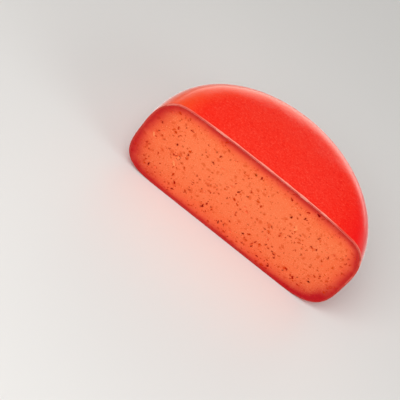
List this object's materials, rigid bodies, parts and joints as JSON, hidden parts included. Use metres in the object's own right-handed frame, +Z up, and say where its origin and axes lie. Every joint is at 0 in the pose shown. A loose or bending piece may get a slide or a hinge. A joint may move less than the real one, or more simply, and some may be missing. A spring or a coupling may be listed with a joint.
{
  "type": "half wheel of red waxed gouda cheese",
  "caption": "Half of a round cheese in a red wax coat, cut straight down through the middle, with a herb-flecked orange-red paste and a flat base to stand on.",
  "frame": {"origin": "under the middle of the half's box, on the plane it stands on", "axes": "+Z up, +X along the cut, the cut face looks towards -Y and the wheel's curved side towards +Y"},
  "size_m": [0.24, 0.1204, 0.103],
  "materials": {
    "cheese": "moist matt orange-red paste with a darker red rind zone and dark herb flecks, smooth from the knife",
    "wax": "satin-gloss red cheese wax with fine brushed streaks and a pale cut edge"
  },
  "bodies": {
    "root": {"cheese": "cheese", "wax_coat": "wax"}
  },
  "joints": []
}
